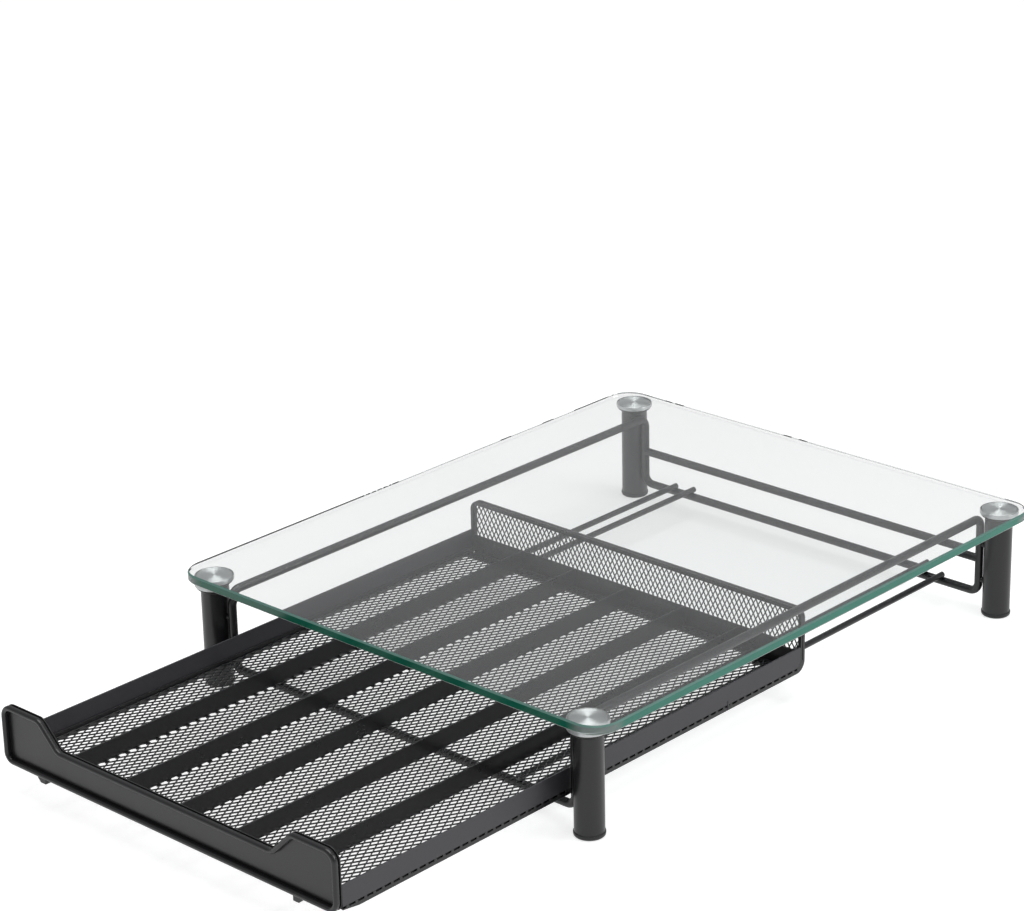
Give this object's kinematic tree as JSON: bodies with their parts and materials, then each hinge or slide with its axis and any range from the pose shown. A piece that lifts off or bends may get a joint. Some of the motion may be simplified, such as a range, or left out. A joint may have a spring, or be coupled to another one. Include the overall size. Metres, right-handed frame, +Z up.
{
  "type": "coffee pod drawer",
  "caption": "Glass-topped countertop stand with a sliding wire-framed steel drawer that holds coffee capsules in lanes and carries a coffee machine on top.",
  "frame": {"origin": "on the table, under the middle of the whole object's bounding box with the drawer pulled about halfway out", "axes": "+Z up, +Y from the drawer front towards the back of the stand, +X to the right seen from the front"},
  "size_m": [0.35, 0.5978, 0.076],
  "materials": {
    "clear_glass": "clear toughened float glass with a polished green edge",
    "spun_aluminium": "turned face with fine rings",
    "black_tube": "satin black powder coat on steel tube",
    "black_wire": "satin black powder coat on steel wire",
    "black_steel": "satin black powder coat on sheet steel",
    "black_mesh": "satin black powder coat on expanded steel mesh",
    "black_plastic": "moulded black plastic",
    "zinc_steel": "zinc-plated thread"
  },
  "bodies": {
    "stand": {"glass_top": "clear_glass", "glue_disc_front_left": "spun_aluminium", "collar_front_left": "black_plastic", "leg_front_left": "black_tube", "foot_plug_front_left": "black_plastic", "glue_disc_front_right": "spun_aluminium", "collar_front_right": "black_plastic", "leg_front_right": "black_tube", "foot_plug_front_right": "black_plastic", "glue_disc_rear_left": "spun_aluminium", "collar_rear_left": "black_plastic", "leg_rear_left": "black_tube", "foot_plug_rear_left": "black_plastic", "glue_disc_rear_right": "spun_aluminium", "collar_rear_right": "black_plastic", "leg_rear_right": "black_tube", "foot_plug_rear_right": "black_plastic", "leg_inserts": "zinc_steel", "disc_studs": "zinc_steel", "side_rail_left": "black_wire", "side_rail_right": "black_wire", "frame_post_front_left": "black_wire", "frame_post_front_right": "black_wire", "frame_post_rear_left": "black_wire", "frame_post_rear_right": "black_wire", "upper_bends": "black_wire", "lower_bends": "black_wire", "lower_front_bar": "black_wire", "lower_rear_bar": "black_wire", "upper_rear_bar": "black_wire", "frame_pins": "black_wire", "runner_outer_left": "black_wire", "runner_outer_right": "black_wire", "runner_inner_left": "black_wire", "runner_inner_right": "black_wire"},
    "drawer": {"front_rim": "black_steel", "front_panel": "black_steel", "side_band_left": "black_steel", "side_band_right": "black_steel", "side_hem_left": "black_steel", "side_hem_right": "black_steel", "rear_rim": "black_steel", "rear_floor_strip": "black_steel", "rear_band": "black_steel", "back_mesh": "black_mesh", "floor_mesh": "black_mesh", "lane_divider_1": "black_steel", "lane_divider_2": "black_steel", "lane_divider_3": "black_steel", "lane_divider_4": "black_steel", "lane_divider_5": "black_steel", "guide_lug_front_left": "black_steel", "guide_lug_front_right": "black_steel", "guide_lug_rear_left": "black_steel", "guide_lug_rear_right": "black_steel"}
  },
  "joints": [
    {"name": "drawer_slide", "type": "slide", "parent": "stand", "child": "drawer", "axis": [0, -1, 0], "range_m": [-0.17645, 0.015]}
  ]
}
